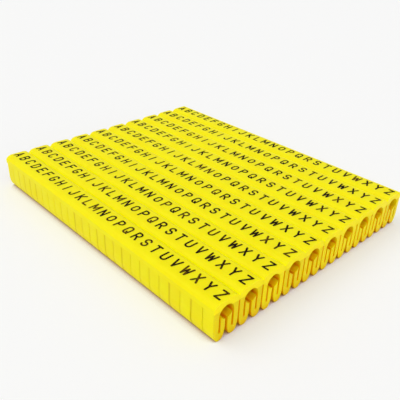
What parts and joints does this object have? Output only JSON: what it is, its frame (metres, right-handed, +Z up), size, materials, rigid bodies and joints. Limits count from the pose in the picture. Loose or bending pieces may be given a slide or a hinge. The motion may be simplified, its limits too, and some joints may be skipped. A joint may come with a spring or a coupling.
{
  "type": "cable marker",
  "caption": "Flat mat of soft yellow clip-on cable marker strips, knife-cut from below into lettered markers that snap over a wire.",
  "frame": {"origin": "middle of the mat, on the surface that its feet stand on", "axes": "+X along the strips in reading direction, +Y across the strips towards the tops of the letters, +Z up out of the printed face"},
  "size_m": [0.0728, 0.0596, 0.0081],
  "materials": {
    "yellow_pvc": "semi-gloss soft plastic",
    "print_ink": "stamped print"
  },
  "bodies": {
    "root": {"strip_01": "yellow_pvc", "strip_02": "yellow_pvc", "strip_03": "yellow_pvc", "strip_04": "yellow_pvc", "strip_05": "yellow_pvc", "strip_06": "yellow_pvc", "strip_07": "yellow_pvc", "strip_08": "yellow_pvc", "strip_09": "yellow_pvc", "strip_10": "yellow_pvc"}
  },
  "joints": []
}
